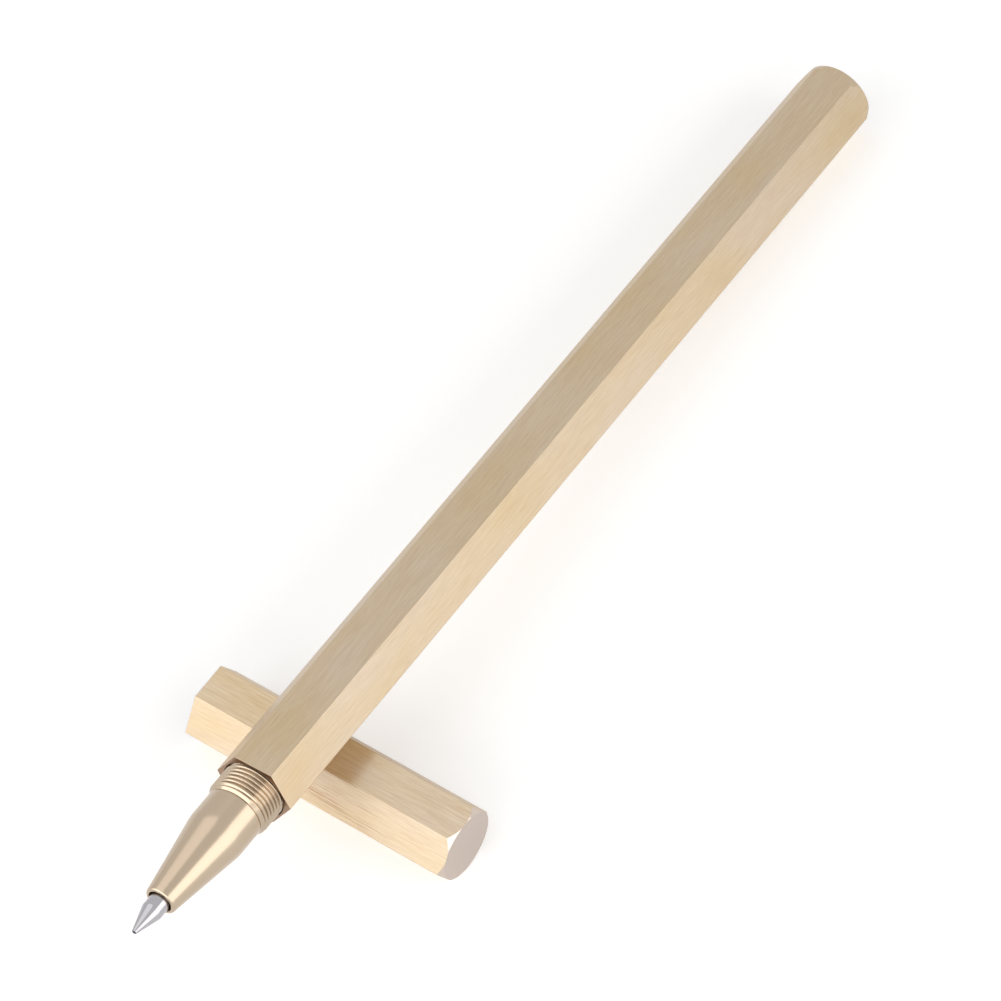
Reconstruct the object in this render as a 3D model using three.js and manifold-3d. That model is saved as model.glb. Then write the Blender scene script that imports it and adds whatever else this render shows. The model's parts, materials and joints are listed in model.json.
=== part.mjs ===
// A capped ballpoint pen made from hexagonal brass bar, shown open: the pen lies across its own cap.
// Units are millimetres and +Z is up. The cap lies along X with its mouth towards -X. The pen lies
// along Y with its nose towards -Y, and its far end rests on the table.
import * as THREE from 'three';
import { mergeVertices } from 'three/addons/utils/BufferGeometryUtils.js';
import Module from 'manifold-3d';

// Hexagonal bar that the barrel and the cap are both cut from
const HEX_ACROSS_FLATS = 7.75;
const HEX_EDGE_RADIUS = 0.25;
const FACE_EDGE_BREAK = 0.12;
const HEX_EDGE_STEPS = 3;

// Barrel: an open mouth with a thread, a blind bore for the refill and a solid far end
const BARREL_LENGTH = 111.5;
const BARREL_BORE_DEPTH = 103.5;
const BARREL_END_BEVEL = 1.4;

// Cap: the same bar with a thread in its mouth and a blind bore that swallows the nose
const CAP_LENGTH = 32;
const CAP_BORE_DEPTH = 27;
const CAP_END_BEVEL = 0.5;

// Fine thread, 7 mm across with a 0.5 mm pitch. One thread holds the nose and takes the cap.
const THREAD_RADIUS = 3.5;
const THREAD_PITCH = 0.5;
const THREAD_DEPTH = 0.31;
const THREAD_CREST = 0.08;
const THREAD_CLEARANCE = 0.05;
const THREAD_FLANK_CLEARANCE = 0.03;
const THREAD_IN_BARREL = 5;
const THREAD_IN_CAP = 3.15;
const THREAD_RUNOUT = 0.2;
const THREAD_END_BREAK = 0.1;
const RIDGE_ROOTED = 0.15;
const MOUTH_RECESS_RADIUS = 3.62;
const MOUTH_RECESS_DEPTH = 0.35;
const MOUTH_RECESS_TAPER = 0.3;

// Nose: a threaded stub, a short straight neck and a long cone with a rounded rim
const NOSE_NECK_RADIUS = 3.17;
const NOSE_NECK_END = 6.85;
const NOSE_NECK_BREAK = 0.12;
const NOSE_NECK_BEHIND_BREAK = 0.15;
const NOSE_BODY_IN_STUB = 0.3;
const NOSE_LENGTH = 16.45;
const NOSE_RIM_RADIUS = 1.78;
const NOSE_RIM_ROUND = 0.4;
const NOSE_RIM_STEPS = 4;
const NOSE_WALL_AT_SHOULDER = 0.5;
const NOSE_SHOULDER_DEPTH = 3.55;

// Refill: a plastic tube with a holder, a metal tip and a ball in front, and a plug behind
const REFILL_LENGTH = 110.5;
const TIP_EXPOSED = 4.53;
const TIP_RADIUS = 1.15;
const TIP_SHANK_EXPOSED = 1.44;
const TIP_SHANK_HIDDEN = 9;
const TIP_LIP_RADIUS = 0.275;
const TIP_LIP_BEHIND_BALL_END = 0.11;
const TIP_CHANNEL_RADIUS = 0.3;
const BALL_RADIUS = 0.25;
const BALL_CLEARANCE = 0.012;
const TIP_SOCKET_HALF_LENGTH = 0.04;
const TIP_SEAT_BEHIND_CENTRE = 0.8;
const TIP_SEAT_TAPER = 0.12;
const TIP_FEED_RADIUS = 0.08;
const TIP_CHANNEL_TAPER = 0.1;
const TIP_BORE_CLEARANCE = 0.08;
const TUBE_RADIUS = 2.9;
const TUBE_WALL = 0.7;
const TUBE_CLEARANCE = 0.15;
const HOLDER_STEM_RADIUS = 2.5;
const HOLDER_STEM_END = 5.6;
const HOLDER_STEM_CLEARANCE = 0.12;
const HOLDER_FRONT_RADIUS = 1.65;
const HOLDER_FLANGE = 0.75;
const HOLDER_PLUG_LENGTH = 3.3;
const HOLDER_CHANNEL_RADIUS = 0.8;
const TAIL_PLUG_FLANGE = 1.4;
const TAIL_PLUG_LENGTH = 3;
const TAIL_VENT_RADIUS = 0.5;
const INK_LENGTH = 52;
const FOLLOWER_LENGTH = 4;

// Springs: one behind the refill, and a hair-fine one behind the writing ball
const REFILL_SPRING_RADIUS = 2.3;
const REFILL_SPRING_WIRE = 0.5;
const REFILL_SPRING_TURNS = 8;
const REFILL_SPRING_SIDES = 8;
const BALL_SPRING_RADIUS = 0.19;
const BALL_SPRING_WIRE = 0.08;
const BALL_SPRING_TURNS = 9;
const BALL_SPRING_LENGTH = 2.2;
const BALL_SPRING_BEHIND_BALL = 1;
const BALL_SPRING_SIDES = 5;
const COIL_STEPS = 10;
const CLOSED_COIL_PITCH = 1.25;

// Gaps between pieces that touch on the real pen
const SEAT_GAP = 0.05;
const SOCKET_GAP = 0.02;
const STOP_GAP = 0.3;

// How the open pen lies on its cap
const CROSSING_ANGLE = 91.5;
const CROSSING_FROM_BARREL_FRONT = 13.1;
const CROSSING_FROM_CAP_MOUTH = 13.55;

// Fineness of the curved surfaces
const ROUND_STEPS = 48;
const SMALL_ROUND_STEPS = 24;
const THREAD_STEPS = 24;
const TINY_ROUND_STEPS = 16;

// How far a cutting shape reaches beyond the piece it cuts, and how near two corners count as one
const OVERSHOOT = 1;
const SAME_CORNER = 1e-5;

// Sizes that follow from the ones above
const FLAT_RADIUS = HEX_ACROSS_FLATS / 2;
const SHARP_CORNER_RADIUS = HEX_ACROSS_FLATS / Math.sqrt(3);
const CORNER_RADIUS = SHARP_CORNER_RADIUS - HEX_EDGE_RADIUS * (2 / Math.sqrt(3) - 1);
const ROOT_RADIUS = THREAD_RADIUS - THREAD_DEPTH;
const FLANK_SLOPE = Math.tan(THREE.MathUtils.degToRad(30));
const TAPPED_RADIUS = ROOT_RADIUS + THREAD_CLEARANCE;
const TUBE_BORE_RADIUS = TUBE_RADIUS - TUBE_WALL;
const BARREL_BORE_RADIUS = TUBE_RADIUS + TUBE_CLEARANCE;
const NOSE_SHOULDER = NOSE_LENGTH - NOSE_SHOULDER_DEPTH;
const TIP_BORE_RADIUS = TIP_RADIUS + TIP_BORE_CLEARANCE;
const HOLDER_BORE_RADIUS = HOLDER_STEM_RADIUS + HOLDER_STEM_CLEARANCE;
const STUB_END = -THREAD_IN_BARREL - THREAD_RUNOUT;
const BALL_END = NOSE_LENGTH + TIP_EXPOSED;
const REFILL_END = BALL_END - REFILL_LENGTH;
const HOLDER_FRONT = NOSE_SHOULDER - 2 * SEAT_GAP;
const HOLDER_BACK = STUB_END - STOP_GAP;
const TUBE_FRONT = HOLDER_BACK - HOLDER_FLANGE - SEAT_GAP;
const TUBE_BACK = REFILL_END + TAIL_PLUG_FLANGE + SEAT_GAP;
const INK_FRONT = TUBE_FRONT - HOLDER_PLUG_LENGTH - SEAT_GAP;
const INK_RADIUS = TUBE_BORE_RADIUS - SEAT_GAP;

const wasm = await Module();
wasm.setup();

// Makes a solid of a closed three.js geometry, with its shared corners merged.
function solidOf(geometry) {
  const bare = geometry.clone();
  bare.deleteAttribute('normal');
  bare.deleteAttribute('uv');
  const merged = mergeVertices(bare, SAME_CORNER);
  const index = merged.index.array;
  const corners = [];
  for (let i = 0; i < index.length; i += 3) {
    const [a, b, c] = [index[i], index[i + 1], index[i + 2]];
    if (a !== b && b !== c && c !== a) corners.push(a, b, c);
  }
  const mesh = new wasm.Mesh({
    numProp: 3,
    vertProperties: new Float32Array(merged.attributes.position.array),
    triVerts: new Uint32Array(corners),
  });
  return new wasm.Manifold(mesh);
}

function geometryOf(solid) {
  const mesh = solid.getMesh();
  const geometry = new THREE.BufferGeometry();
  geometry.setAttribute('position', new THREE.BufferAttribute(new Float32Array(mesh.vertProperties), 3));
  geometry.setIndex(new THREE.BufferAttribute(new Uint32Array(mesh.triVerts), 1));
  geometry.computeVertexNormals();
  return geometry;
}

// Turns an outline of [radius, height] points about Z. The outline runs upwards along its outside.
function turned(outline, steps = ROUND_STEPS) {
  const points = outline.map(([radius, height]) => new THREE.Vector2(radius, height));
  const geometry = new THREE.LatheGeometry(points, steps);
  geometry.rotateX(Math.PI / 2);
  return geometry;
}

// A round rod whose ends are flat, from one height to another.
function rod(radius, low, high, steps = ROUND_STEPS) {
  return turned([[0, low], [radius, low], [radius, high], [0, high]], steps);
}

// The hexagon of the bar, flat side down, with its six edges rounded.
function hexagon() {
  const shape = new THREE.Shape();
  const arcCentre = CORNER_RADIUS - HEX_EDGE_RADIUS;
  for (let corner = 0; corner < 6; corner += 1) {
    const angle = (corner * Math.PI) / 3;
    const x = arcCentre * Math.cos(angle);
    const y = arcCentre * Math.sin(angle);
    shape.absarc(x, y, HEX_EDGE_RADIUS, angle - Math.PI / 6, angle + Math.PI / 6, false);
  }
  shape.closePath();
  return shape;
}

// A length of bar from its far end at -length to its mouth at 0. A turned bevel takes the six
// corners off the far end, and a much smaller one breaks them at the mouth.
function hexBar(length, endBevel) {
  const extrusion = { depth: length, bevelEnabled: false, curveSegments: HEX_EDGE_STEPS };
  const bar = new THREE.ExtrudeGeometry(hexagon(), extrusion);
  bar.translate(0, 0, -length);
  const wide = CORNER_RADIUS + OVERSHOOT;
  const cornerHeight = CORNER_RADIUS - FLAT_RADIUS;
  const endSlope = endBevel / cornerHeight;
  const mouthRadius = CORNER_RADIUS - FACE_EDGE_BREAK;
  const envelope = turned([
    [0, -length],
    [FLAT_RADIUS, -length],
    [wide, -length + (wide - FLAT_RADIUS) * endSlope],
    [wide, -(wide - mouthRadius)],
    [mouthRadius, 0],
    [0, 0],
  ]);
  return solidOf(bar).intersect(solidOf(envelope));
}

// One ridge of a right-hand thread, wound from a low to a high height. Grown by a clearance it is
// the tool that taps the mating hole.
function threadRidge(low, high, radialGrowth, flankGrowth) {
  const root = ROOT_RADIUS + radialGrowth;
  const crest = THREAD_RADIUS + radialGrowth;
  const halfWidth = (radius) => THREAD_CREST / 2 + (THREAD_RADIUS - radius) * FLANK_SLOPE + flankGrowth;
  const sunk = root - RIDGE_ROOTED;
  const section = [
    [sunk, -halfWidth(root)],
    [root, -halfWidth(root)],
    [crest, -halfWidth(crest)],
    [crest, halfWidth(crest)],
    [root, halfWidth(root)],
    [sunk, halfWidth(root)],
  ];
  const firstStep = Math.round((low / THREAD_PITCH) * THREAD_STEPS);
  const lastStep = Math.round((high / THREAD_PITCH) * THREAD_STEPS);
  return sweptTube(section, firstStep, lastStep, (step) => {
    const angle = (step / THREAD_STEPS) * 2 * Math.PI;
    const height = (step / THREAD_STEPS) * THREAD_PITCH;
    return ([radius, offset]) => [radius * Math.cos(angle), radius * Math.sin(angle), height + offset];
  });
}

// Joins copies of one closed section, each placed by placeAt(step), into a tube with closed ends.
function sweptTube(section, firstStep, lastStep, placeAt) {
  const sides = section.length;
  const positions = [];
  const faces = [];
  for (let step = firstStep; step <= lastStep; step += 1) {
    section.map(placeAt(step)).forEach((point) => positions.push(...point));
  }
  const rings = lastStep - firstStep;
  for (let ring = 0; ring < rings; ring += 1) {
    for (let side = 0; side < sides; side += 1) {
      const here = ring * sides + side;
      const next = ring * sides + ((side + 1) % sides);
      faces.push(here, here + sides, next, next, here + sides, next + sides);
    }
  }
  const end = rings * sides;
  for (let side = 1; side < sides - 1; side += 1) {
    faces.push(0, side, side + 1);
    faces.push(end, end + side + 1, end + side);
  }
  const geometry = new THREE.BufferGeometry();
  geometry.setAttribute('position', new THREE.Float32BufferAttribute(positions, 3));
  geometry.setIndex(faces);
  return geometry;
}

// A hexagonal bar with its blind bore, its recessed mouth and its tapped thread.
function tappedBar(length, endBevel, boreDepth, boreRadius, threadLength) {
  const recessEnd = -MOUTH_RECESS_DEPTH;
  const threadEnd = -threadLength - STOP_GAP;
  const bore = turned([
    [0, -boreDepth],
    [boreRadius, -boreDepth],
    [boreRadius, threadEnd],
    [TAPPED_RADIUS, threadEnd],
    [TAPPED_RADIUS, recessEnd - MOUTH_RECESS_TAPER],
    [MOUTH_RECESS_RADIUS, recessEnd],
    [MOUTH_RECESS_RADIUS, OVERSHOOT],
    [0, OVERSHOOT],
  ], THREAD_STEPS);
  const tap = threadRidge(threadEnd, THREAD_PITCH, THREAD_CLEARANCE, THREAD_FLANK_CLEARANCE);
  return hexBar(length, endBevel).subtract(solidOf(bore)).subtract(solidOf(tap));
}

function barrel() {
  return tappedBar(BARREL_LENGTH, BARREL_END_BEVEL, BARREL_BORE_DEPTH, BARREL_BORE_RADIUS,
    THREAD_IN_BARREL + THREAD_RUNOUT);
}

function cap() {
  return tappedBar(CAP_LENGTH, CAP_END_BEVEL, CAP_BORE_DEPTH, TAPPED_RADIUS, THREAD_IN_CAP);
}

// The threaded stub runs through the barrel's mouth, and its last turns stand proud for the cap.
function noseStub() {
  const core = rod(ROOT_RADIUS, STUB_END, THREAD_IN_CAP - THREAD_END_BREAK, THREAD_STEPS);
  const ridge = threadRidge(STUB_END - THREAD_PITCH, THREAD_IN_CAP + THREAD_PITCH, 0, 0);
  const wide = THREAD_RADIUS + OVERSHOOT;
  const trim = ROOT_RADIUS - THREAD_END_BREAK;
  const front = THREAD_IN_CAP + THREAD_END_BREAK;
  const envelope = turned([
    [0, STUB_END],
    [trim, STUB_END],
    [wide, STUB_END + wide - trim],
    [wide, front - (wide - trim)],
    [trim, front],
    [0, front],
  ], THREAD_STEPS);
  return solidOf(core).add(solidOf(ridge)).intersect(solidOf(envelope));
}

// The nose's outer radius on its cone, at a distance in front of the barrel.
function noseConeRadius(distance) {
  const along = (distance - NOSE_NECK_END) / (NOSE_LENGTH - NOSE_RIM_ROUND - NOSE_NECK_END);
  return THREE.MathUtils.lerp(NOSE_NECK_RADIUS, NOSE_RIM_RADIUS, along);
}

function nose() {
  const rimArc = Array.from({ length: NOSE_RIM_STEPS }, (_, step) => {
    const angle = ((step + 1) / NOSE_RIM_STEPS) * (Math.PI / 2);
    const inward = NOSE_RIM_ROUND * (1 - Math.cos(angle));
    return [NOSE_RIM_RADIUS - inward, NOSE_LENGTH - NOSE_RIM_ROUND * (1 - Math.sin(angle))];
  });
  const breakStart = THREAD_IN_CAP + NOSE_NECK_BEHIND_BREAK;
  const body = turned([
    [0, THREAD_IN_CAP - NOSE_BODY_IN_STUB],
    [NOSE_NECK_RADIUS - NOSE_NECK_BREAK, THREAD_IN_CAP - NOSE_BODY_IN_STUB],
    [NOSE_NECK_RADIUS - NOSE_NECK_BREAK, breakStart],
    [NOSE_NECK_RADIUS, breakStart + NOSE_NECK_BREAK],
    [NOSE_NECK_RADIUS, NOSE_NECK_END],
    [NOSE_RIM_RADIUS, NOSE_LENGTH - NOSE_RIM_ROUND],
    ...rimArc,
    [0, NOSE_LENGTH],
  ]);
  const shoulderRadius = noseConeRadius(NOSE_SHOULDER) - NOSE_WALL_AT_SHOULDER;
  const bore = turned([
    [0, STUB_END - OVERSHOOT],
    [HOLDER_BORE_RADIUS, STUB_END - OVERSHOOT],
    [HOLDER_BORE_RADIUS, HOLDER_STEM_END + SEAT_GAP],
    [shoulderRadius, NOSE_SHOULDER],
    [TIP_BORE_RADIUS, NOSE_SHOULDER],
    [TIP_BORE_RADIUS, NOSE_LENGTH + OVERSHOOT],
    [0, NOSE_LENGTH + OVERSHOOT],
  ], SMALL_ROUND_STEPS);
  return noseStub().add(solidOf(body)).subtract(solidOf(bore));
}

function refillTube() {
  return turned([
    [TUBE_BORE_RADIUS, TUBE_BACK],
    [TUBE_RADIUS, TUBE_BACK],
    [TUBE_RADIUS, TUBE_FRONT],
    [TUBE_BORE_RADIUS, TUBE_FRONT],
    [TUBE_BORE_RADIUS, TUBE_BACK],
  ], SMALL_ROUND_STEPS);
}

function inkColumn() {
  return rod(INK_RADIUS, INK_FRONT - INK_LENGTH, INK_FRONT, SMALL_ROUND_STEPS);
}

function inkFollower() {
  const front = INK_FRONT - INK_LENGTH - SEAT_GAP;
  return rod(INK_RADIUS, front - FOLLOWER_LENGTH, front, SMALL_ROUND_STEPS);
}

// The holder plugs the tube's front, fills the nose's stub and carries the metal tip.
function tipHolder() {
  const socketBack = NOSE_LENGTH - TIP_SHANK_HIDDEN - SEAT_GAP;
  return turned([
    [HOLDER_CHANNEL_RADIUS, TUBE_FRONT - HOLDER_PLUG_LENGTH],
    [TUBE_BORE_RADIUS - SEAT_GAP, TUBE_FRONT - HOLDER_PLUG_LENGTH],
    [TUBE_BORE_RADIUS - SEAT_GAP, TUBE_FRONT + SEAT_GAP],
    [TUBE_RADIUS, TUBE_FRONT + SEAT_GAP],
    [TUBE_RADIUS, HOLDER_BACK],
    [HOLDER_STEM_RADIUS, HOLDER_BACK],
    [HOLDER_STEM_RADIUS, HOLDER_STEM_END],
    [HOLDER_FRONT_RADIUS, HOLDER_FRONT],
    [TIP_RADIUS + SOCKET_GAP, HOLDER_FRONT],
    [TIP_RADIUS + SOCKET_GAP, socketBack],
    [HOLDER_CHANNEL_RADIUS, socketBack],
    [HOLDER_CHANNEL_RADIUS, TUBE_FRONT - HOLDER_PLUG_LENGTH],
  ], SMALL_ROUND_STEPS);
}

// The metal tip is bored through, and its thin lip is rolled over the ball.
function refillTip() {
  const back = NOSE_LENGTH - TIP_SHANK_HIDDEN;
  const lip = BALL_END - TIP_LIP_BEHIND_BALL_END;
  const ballCentre = BALL_END - BALL_RADIUS;
  const socketRadius = BALL_RADIUS + BALL_CLEARANCE;
  const lipBore = Math.sqrt(socketRadius ** 2 - (lip - ballCentre) ** 2);
  const seat = ballCentre - socketRadius * TIP_SEAT_BEHIND_CENTRE;
  return turned([
    [TIP_CHANNEL_RADIUS, back],
    [TIP_RADIUS, back],
    [TIP_RADIUS, NOSE_LENGTH + TIP_SHANK_EXPOSED],
    [TIP_LIP_RADIUS, lip],
    [lipBore, lip],
    [socketRadius, ballCentre + TIP_SOCKET_HALF_LENGTH],
    [socketRadius, ballCentre - TIP_SOCKET_HALF_LENGTH],
    [TIP_FEED_RADIUS, seat - TIP_SEAT_TAPER],
    [TIP_FEED_RADIUS, ballSpringFront() + SOCKET_GAP],
    [TIP_CHANNEL_RADIUS, ballSpringFront() - TIP_CHANNEL_TAPER],
    [TIP_CHANNEL_RADIUS, back],
  ], SMALL_ROUND_STEPS);
}

function writingBall() {
  const ball = new THREE.SphereGeometry(BALL_RADIUS, TINY_ROUND_STEPS, TINY_ROUND_STEPS / 2);
  ball.rotateX(Math.PI / 2);
  ball.translate(0, 0, BALL_END - BALL_RADIUS);
  return ball;
}

// The tail plug closes the tube behind the ink, with a vent through it.
function tailPlug() {
  const plugRadius = TUBE_BORE_RADIUS - SEAT_GAP;
  return turned([
    [TAIL_VENT_RADIUS, REFILL_END],
    [TUBE_RADIUS, REFILL_END],
    [TUBE_RADIUS, REFILL_END + TAIL_PLUG_FLANGE],
    [plugRadius, REFILL_END + TAIL_PLUG_FLANGE],
    [plugRadius, REFILL_END + TAIL_PLUG_FLANGE + TAIL_PLUG_LENGTH],
    [TAIL_VENT_RADIUS, REFILL_END + TAIL_PLUG_FLANGE + TAIL_PLUG_LENGTH],
    [TAIL_VENT_RADIUS, REFILL_END],
  ], SMALL_ROUND_STEPS);
}

// A compression spring of round wire between two heights, with its end turns wound closer.
function coilSpring(coilRadius, wire, turns, low, high, sides) {
  const section = Array.from({ length: sides }, (_, side) => {
    const angle = (side / sides) * 2 * Math.PI;
    return [(wire / 2) * Math.cos(angle), (wire / 2) * Math.sin(angle)];
  });
  const closePitch = wire * CLOSED_COIL_PITCH;
  const openPitch = (high - low - wire - 2 * closePitch) / (turns - 2);
  const heightAt = (turn) => {
    const first = Math.min(turn, 1) * closePitch;
    const middle = Math.min(Math.max(turn - 1, 0), turns - 2) * openPitch;
    const last = Math.max(turn - turns + 1, 0) * closePitch;
    return low + wire / 2 + first + middle + last;
  };
  return sweptTube(section, 0, turns * COIL_STEPS, (step) => {
    const turn = step / COIL_STEPS;
    const angle = turn * 2 * Math.PI;
    return ([outward, upward]) => {
      const radius = coilRadius + outward;
      return [radius * Math.cos(angle), radius * Math.sin(angle), heightAt(turn) + upward];
    };
  });
}

function refillSpring() {
  return coilSpring(REFILL_SPRING_RADIUS, REFILL_SPRING_WIRE, REFILL_SPRING_TURNS,
    -BARREL_BORE_DEPTH + SEAT_GAP, REFILL_END - SEAT_GAP, REFILL_SPRING_SIDES);
}

function ballSpringFront() {
  return BALL_END - 2 * BALL_RADIUS - BALL_SPRING_BEHIND_BALL;
}

function ballSpring() {
  const front = ballSpringFront() - TIP_CHANNEL_TAPER;
  return coilSpring(BALL_SPRING_RADIUS, BALL_SPRING_WIRE, BALL_SPRING_TURNS,
    front - BALL_SPRING_LENGTH, front, BALL_SPRING_SIDES);
}

// Finishes
const brushedBrass = { color: 0xcdb48c, roughness: 0.38, metalness: 1 };
const turnedBrass = { color: 0xd6ba8c, roughness: 0.22, metalness: 1 };
const nickelSilver = { color: 0xc4c2c2, roughness: 0.2, metalness: 1 };
const springSteel = { color: 0xa9abae, roughness: 0.3, metalness: 1 };
const clearPlastic = { color: 0xdfe4e6, roughness: 0.25, metalness: 0 };
const holderPlastic = { color: 0xeceae4, roughness: 0.4, metalness: 0 };
const blackInk = { color: 0x15161a, roughness: 0.3, metalness: 0 };
const clearGrease = { color: 0xd8cf9a, roughness: 0.5, metalness: 0 };
const carbide = { color: 0x55565a, roughness: 0.15, metalness: 1 };

function named(name, shape, finish) {
  const geometry = shape.isBufferGeometry ? shape : geometryOf(shape);
  const mesh = new THREE.Mesh(geometry, new THREE.MeshStandardMaterial(finish));
  mesh.name = name;
  return mesh;
}

// The pen, along its own Z axis with the barrel's front face at 0 and the nose in front of it.
function penPieces() {
  const pen = new THREE.Group();
  pen.add(named('barrel', barrel(), brushedBrass));
  pen.add(named('nose_section', nose(), turnedBrass));
  pen.add(named('refill_tube', refillTube(), clearPlastic));
  pen.add(named('ink_column', inkColumn(), blackInk));
  pen.add(named('ink_follower', inkFollower(), clearGrease));
  pen.add(named('tip_holder', tipHolder(), holderPlastic));
  pen.add(named('refill_tip', refillTip(), nickelSilver));
  pen.add(named('writing_ball', writingBall(), carbide));
  pen.add(named('ball_spring', ballSpring(), springSteel));
  pen.add(named('tail_plug', tailPlug(), holderPlastic));
  pen.add(named('refill_spring', refillSpring(), springSteel));
  return pen;
}

// The cap lies on one of its flats with its mouth towards -X.
function layCap() {
  const lying = new THREE.Group();
  const toMouth = new THREE.Vector3(-1, 0, 0);
  const upward = new THREE.Vector3(0, 0, 1);
  const sideways = new THREE.Vector3().crossVectors(upward, toMouth);
  lying.applyMatrix4(new THREE.Matrix4().makeBasis(sideways, upward, toMouth));
  lying.position.set(-CROSSING_FROM_CAP_MOUTH, 0, FLAT_RADIUS);
  lying.add(named('cap', cap(), brushedBrass));
  return lying;
}

// The barrel's lower flat lies on the far edge of the cap's upper flat, and slopes down from there
// until the barrel's far end touches the table.
function layPen() {
  const crossing = THREE.MathUtils.degToRad(CROSSING_ANGLE);
  const restHeight = HEX_ACROSS_FLATS + SEAT_GAP;
  const slope = Math.asin(restHeight / (BARREL_LENGTH - CROSSING_FROM_BARREL_FRONT));
  const heading = new THREE.Vector3(Math.cos(crossing), Math.sin(crossing), 0);
  const toNose = heading.clone().multiplyScalar(-Math.cos(slope)).setZ(Math.sin(slope));
  const sideways = new THREE.Vector3(heading.y, -heading.x, 0);
  const upward = new THREE.Vector3().crossVectors(toNose, sideways);
  const edge = (SHARP_CORNER_RADIUS / 2) / Math.sin(crossing);
  const touch = heading.clone().multiplyScalar(edge).setZ(restHeight);
  const front = touch.addScaledVector(upward, FLAT_RADIUS);
  front.addScaledVector(toNose, CROSSING_FROM_BARREL_FRONT);
  const lying = new THREE.Group();
  lying.applyMatrix4(new THREE.Matrix4().makeBasis(sideways, upward, toNose));
  lying.position.copy(front);
  lying.add(penPieces());
  return lying;
}

// The origin is under the middle of the whole thing, on the table.
const object = new THREE.Group();
const arrangement = new THREE.Group();
arrangement.add(layCap());
arrangement.add(layPen());
arrangement.updateMatrixWorld(true);
const middle = new THREE.Box3().setFromObject(arrangement, true).getCenter(new THREE.Vector3());
arrangement.position.set(-middle.x, -middle.y, 0);
object.add(arrangement);
object.updateMatrixWorld(true);

export default object;
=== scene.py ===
# A capped ballpoint pen made from hexagonal brass bar. It is shown open: the pen lies across its cap.
import json
import math

import bmesh
import bpy
from mathutils import Matrix, Vector


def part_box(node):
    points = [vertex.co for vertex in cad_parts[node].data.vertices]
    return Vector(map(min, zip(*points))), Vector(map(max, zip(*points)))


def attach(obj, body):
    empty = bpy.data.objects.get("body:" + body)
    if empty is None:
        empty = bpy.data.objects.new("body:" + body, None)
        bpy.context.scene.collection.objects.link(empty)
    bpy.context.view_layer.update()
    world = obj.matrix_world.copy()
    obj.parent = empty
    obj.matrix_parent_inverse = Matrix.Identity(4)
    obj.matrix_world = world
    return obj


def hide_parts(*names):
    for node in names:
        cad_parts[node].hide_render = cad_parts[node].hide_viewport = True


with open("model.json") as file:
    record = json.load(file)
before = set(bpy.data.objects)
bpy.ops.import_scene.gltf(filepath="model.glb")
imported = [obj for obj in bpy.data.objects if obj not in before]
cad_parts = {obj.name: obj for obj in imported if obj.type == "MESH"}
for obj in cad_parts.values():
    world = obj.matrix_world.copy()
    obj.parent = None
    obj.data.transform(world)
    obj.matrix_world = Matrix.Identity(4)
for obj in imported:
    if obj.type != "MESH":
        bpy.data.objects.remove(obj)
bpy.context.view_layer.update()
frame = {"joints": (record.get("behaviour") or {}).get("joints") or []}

# Barrel
# A length of hexagonal brass bar, 7.75 mm across flats, drilled from the front and tapped for the
# nose. Its long edges are only just broken, and a lathe has taken the corners off its closed end.
ACROSS_FLATS = 7.75
EDGE_ROUND = 0.1
MOUTH_EDGE_BREAK = 0.08
BARREL_LENGTH = 111.5
BARREL_BORE = 3.05
BARREL_BORE_DEPTH = 103.5
BARREL_END_BEVEL = 1.4
BARREL_THREAD = 5.2
THREAD_RADIUS = 3.5
THREAD_DEPTH = 0.31
THREAD_PITCH = 0.5
THREAD_CREST = 0.05
CREST_GROWTH = 0.3
THREAD_CLEARANCE = 0.05
TAP_OVERLAP = 0.01
MOUTH_RECESS_RADIUS = 3.62
MOUTH_RECESS_DEPTH = 0.35
LEAD_IN = 0.3
THREAD_RUNOUT = 0.3
THREAD_FLANK = math.radians(30)
OVERCUT = 1
ENVELOPE_MARGIN = 2
MOUTH_MARGIN = 0.2
MILLIMETRE = 0.001
MERGE_GAP = 1e-4
FULL_TURN = 2 * math.pi
SMOOTH_STEPS = 96
ENVELOPE_STEPS = 192
BRASS = (0.54, 0.43, 0.30, 1)
END_BRASS = (0.52, 0.44, 0.385, 1)
# Painted shade: a dark brown for the mouth faces and bores, darkening the joints where the nose and the cap's
# thread sit in the bar.
SHADED_MOUTH_BRASS = (0.31, 0.20, 0.13, 1)
BRASS_ROUGHNESS = 0.38
CLOUD_ROUGHNESS = (0.36, 0.40)
CLOUD_SIZE = (5.0, 5.0, 13.0)
CLOUD_DARK = (0.975, 0.95, 0.86)
CLOUD_LIGHT = (1.0, 1.02, 1.10)
STREAK_POWERS = (("X", 0.75), ("Y", 1.15), ("Z", 1.3))
BRUSH_ANISOTROPY = 0.8
BRUSH_HAIR = (0.08, 0.08, 2.8)
BRUSH_HEIGHT = 0.0015
BRUSH_SCRATCH = (0.085, 0.085, 6.5)
SCRATCH_SPAN = (0.54, 0.62)
BARREL_BRUSHING = 0.11
LATHE_RING = 0.09
LATHE_HEIGHT = 0.002
FACED_ROUGHNESS = 0.34
EDGE_ROUGHNESS = 0.4
MOUTH_ROUGHNESS = 0.3

joints = {joint["name"]: joint for joint in frame["joints"]}
barrel_mouth = Vector(joints["nose_unscrew"]["pos_m"])
to_nose = Vector(joints["nose_unscrew"]["axis"]).normalized()
pen_side = Vector((0, 0, 1)).cross(to_nose).normalized()
pen_up = to_nose.cross(pen_side)
pen_turn = Matrix((pen_side, pen_up, to_nose)).transposed().to_4x4()
pen_place = Matrix.Translation(barrel_mouth) @ pen_turn @ Matrix.Scale(MILLIMETRE, 4)


def start_piece(name):
    """Takes the object that was just added as the only one selected, under its own name."""
    piece = bpy.context.object
    bpy.ops.object.select_all(action="DESELECT")
    piece.select_set(True)
    bpy.context.view_layer.objects.active = piece
    piece.name = name
    piece.data.name = name
    return piece


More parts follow.
